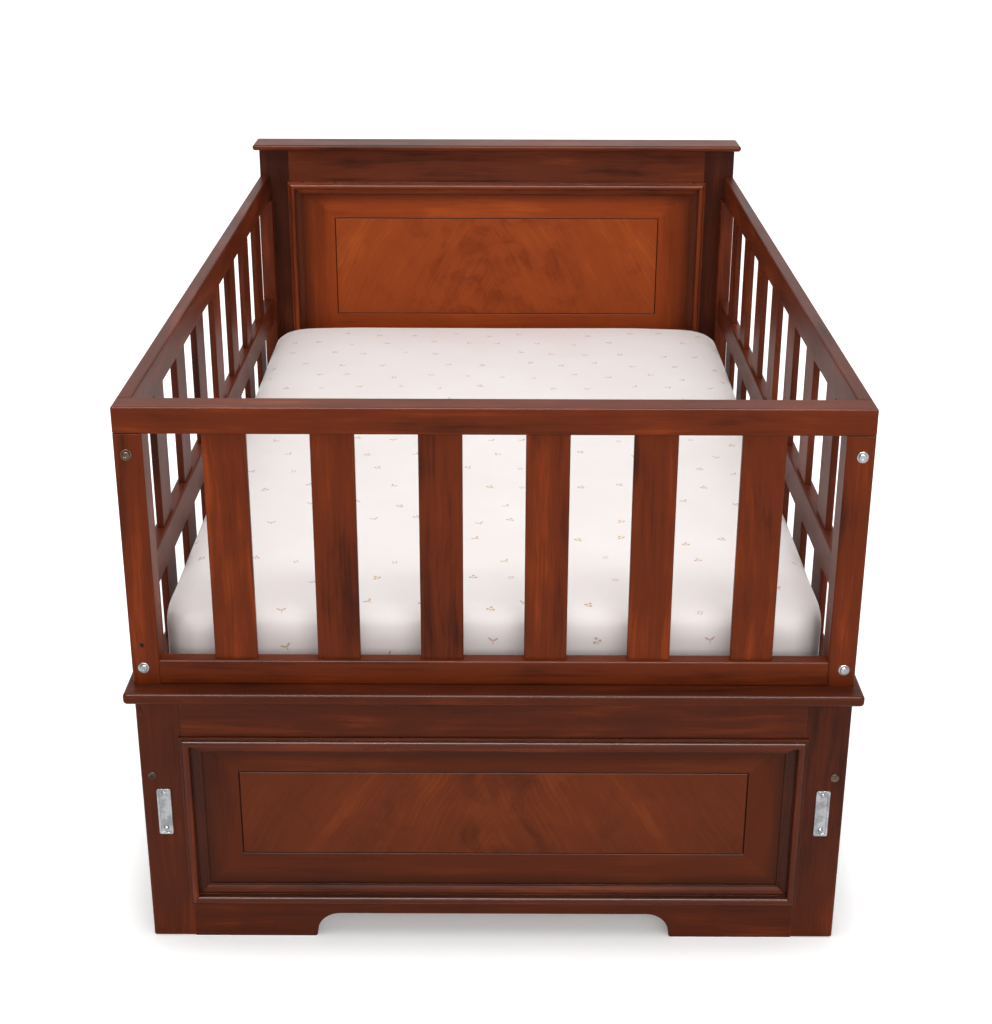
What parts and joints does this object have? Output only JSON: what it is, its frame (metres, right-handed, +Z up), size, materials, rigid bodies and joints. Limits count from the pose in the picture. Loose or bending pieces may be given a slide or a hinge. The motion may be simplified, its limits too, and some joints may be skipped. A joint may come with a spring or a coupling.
{
  "type": "cot bed",
  "caption": "Child's cot bed with panelled headboard and footboard, slatted sides, a slatted end guard and a mattress in a fitted sheet.",
  "frame": {"origin": "on the floor, under the middle of the bed's bounding box", "axes": "+Y along the bed from the footboard to the headboard, +X to the right seen from the foot end, +Z up"},
  "size_m": [1.06, 1.666, 0.926],
  "materials": {
    "polished_wood": "red-brown polish, satin",
    "veneered_panel": "book-matched veneer, red-brown polish, satin",
    "plain_wood": "planed, unpolished",
    "bright_steel": "zinc plated",
    "dark_bronze": "dark bronze plating",
    "mattress_ticking": "woven ticking over foam",
    "printed_sheet": "printed jersey cotton"
  },
  "bodies": {
    "bed": {"foot_left_stile": "polished_wood", "foot_right_stile": "polished_wood", "foot_top_rail": "polished_wood", "foot_base_rail": "polished_wood", "foot_moulding": "polished_wood", "foot_cap": "polished_wood", "foot_panel": "veneered_panel", "head_left_stile": "polished_wood", "head_right_stile": "polished_wood", "head_top_rail": "polished_wood", "head_base_rail": "polished_wood", "head_moulding": "polished_wood", "head_cap": "polished_wood", "head_panel": "veneered_panel", "head_middle_rail": "polished_wood", "head_lower_panel": "polished_wood", "guard_left_post": "polished_wood", "guard_right_post": "polished_wood", "guard_top_rail": "polished_wood", "guard_bottom_rail": "polished_wood", "guard_slats": "polished_wood", "left_side_top_rail": "polished_wood", "left_side_middle_rail": "polished_wood", "left_side_bottom_rail": "polished_wood", "left_side_front_stile": "polished_wood", "left_side_back_stile": "polished_wood", "left_side_slats": "polished_wood", "left_bed_rail": "polished_wood", "left_cleat": "plain_wood", "right_side_top_rail": "polished_wood", "right_side_middle_rail": "polished_wood", "right_side_bottom_rail": "polished_wood", "right_side_front_stile": "polished_wood", "right_side_back_stile": "polished_wood", "right_side_slats": "polished_wood", "right_bed_rail": "polished_wood", "right_cleat": "plain_wood", "deck_slats": "plain_wood", "dowels": "plain_wood", "guard_bolts": "bright_steel", "guard_washers": "bright_steel", "head_bolts": "bright_steel", "head_washers": "bright_steel", "barrel_nuts": "bright_steel", "latch_plates": "bright_steel", "latch_plate_screws": "bright_steel", "cleat_screws": "bright_steel", "deck_screws": "bright_steel", "guard_dark_bolt": "dark_bronze", "guard_dark_washer": "dark_bronze", "rail_bolts": "dark_bronze"},
    "bedding": {"mattress": "mattress_ticking", "fitted_sheet": "printed_sheet"}
  },
  "joints": [
    {"name": "mattress_lift", "type": "slide", "parent": "bed", "child": "bedding", "axis": [0, 0, 1], "range_m": [0, 0.375]}
  ]
}
